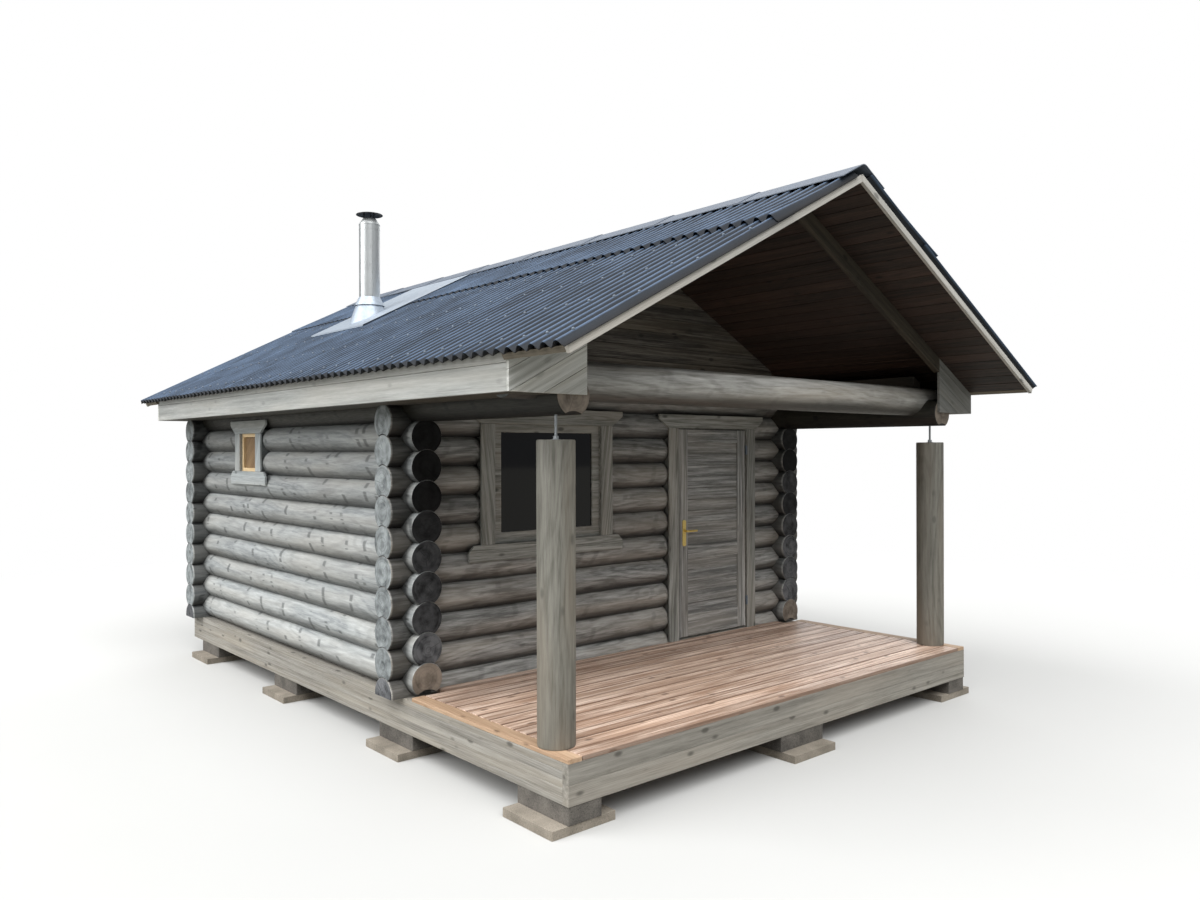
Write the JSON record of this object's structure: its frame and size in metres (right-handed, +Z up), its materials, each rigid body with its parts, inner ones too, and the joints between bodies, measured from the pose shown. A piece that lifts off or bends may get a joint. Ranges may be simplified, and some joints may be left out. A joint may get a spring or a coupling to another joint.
{
  "type": "log sauna",
  "caption": "Small log sauna with a covered porch, round saddle-notched logs, hinged panelled door, window, corrugated roof and steel flue, open inside",
  "frame": {"origin": "on the ground, midway between the side walls, under the middle of the roof's length", "axes": "X to the right as seen facing the door, Y from the porch to the back, Z up"},
  "size_m": [4.9178, 6.787, 4.229],
  "materials": {
    "stained_log": "satin",
    "stained_board": "satin",
    "stained_deck": "satin",
    "raw_pine": "matte",
    "concrete": "matte",
    "fibre_cement": "satin",
    "bare_steel": "satin",
    "zinc_sheet": "satin",
    "black_steel": "satin",
    "brass": "satin",
    "dark_glass": "gloss"
  },
  "bodies": {
    "house": {"paving_slabs": "concrete", "foundation_blocks": "concrete", "side_rim_beams": "stained_board", "cross_rim_beams": "stained_board", "floor_joists": "raw_pine", "floor_boards": "raw_pine", "deck_boards": "stained_deck", "deck_border_boards": "stained_deck", "left_wall_logs": "stained_log", "right_wall_logs": "stained_log", "back_wall_logs": "stained_log", "front_logs_left": "stained_log", "front_logs_right": "stained_log", "front_logs_over_door": "stained_log", "eave_logs": "stained_log", "tie_log": "stained_log", "wall_plates": "raw_pine", "porch_posts": "stained_log", "post_jacks": "bare_steel", "rafters": "raw_pine", "roof_boards": "raw_pine", "roof_sheets": "fibre_cement", "ridge_caps": "fibre_cement", "barge_boards": "stained_board", "fascia_boards": "stained_board", "eave_soffits": "raw_pine", "eave_end_caps": "stained_board", "gable_boards": "stained_board", "roof_flashing": "zinc_sheet", "pipe_boot": "zinc_sheet", "chimney_pipe": "bare_steel", "storm_collar": "zinc_sheet", "rain_cap": "black_steel", "door_jambs": "raw_pine", "door_head_and_threshold": "raw_pine", "hinge_pins": "bare_steel", "window_frame": "raw_pine", "window_sash": "stained_board", "window_glass": "dark_glass", "small_window_frame": "raw_pine", "small_window_sash": "raw_pine", "small_window_board": "raw_pine", "casing_boards": "stained_board", "head_boards": "stained_board", "sill_boards": "stained_board"},
    "door": {"door_leaf": "stained_board", "door_handle_plates": "brass", "hinge_barrels": "bare_steel"},
    "lever": {"door_lever": "brass"}
  },
  "joints": [
    {"name": "door_swing", "type": "hinge", "parent": "house", "child": "door", "pos_m": [1.381, -1.2785, 0.648], "axis": [0, 0, 1], "range_deg": [0, 110]},
    {"name": "lever_turn", "type": "hinge", "parent": "door", "child": "lever", "pos_m": [0.5765, -1.2665, 1.316], "axis": [0, 1, 0], "range_deg": [0, 40], "stiffness_Nm_per_rad": 2, "springref_deg": -22.92}
  ]
}
